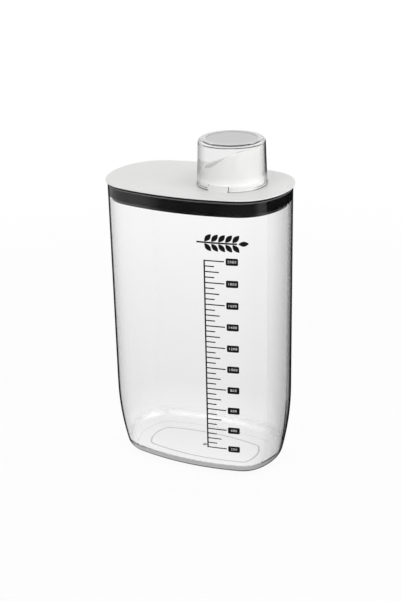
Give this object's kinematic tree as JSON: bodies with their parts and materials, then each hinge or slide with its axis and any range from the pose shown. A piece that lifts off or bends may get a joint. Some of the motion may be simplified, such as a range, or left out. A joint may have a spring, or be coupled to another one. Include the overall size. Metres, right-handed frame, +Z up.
{
  "type": "food storage container",
  "caption": "Clear upright food canister with a rounded oblong plan, a push-in sealed lid with a slanted pouring spout, and a clear measuring cup that covers the spout.",
  "frame": {"origin": "middle of the jar's base, on the surface it stands on", "axes": "+Z up, +X along the long side towards the spout, -Y out of the printed front face"},
  "size_m": [0.1536, 0.0988, 0.2736],
  "materials": {
    "clear_jar": "clear moulded plastic, polished",
    "white_lid": "white moulded plastic, satin",
    "black_seal": "black silicone, matt",
    "clear_cup": "clear moulded plastic, polished"
  },
  "bodies": {
    "jar": {"jar": "clear_jar"},
    "lid": {"lid": "white_lid", "lid_gasket": "black_seal"},
    "cup": {"measuring_cup": "clear_cup"}
  },
  "joints": [
    {"name": "lid_lift", "type": "slide", "parent": "jar", "child": "lid", "axis": [0, 0, 1], "range_m": [0, 0.06]},
    {"name": "cup_lift", "type": "slide", "parent": "lid", "child": "cup", "axis": [0, 0, 1], "range_m": [0, 0.06]}
  ]
}
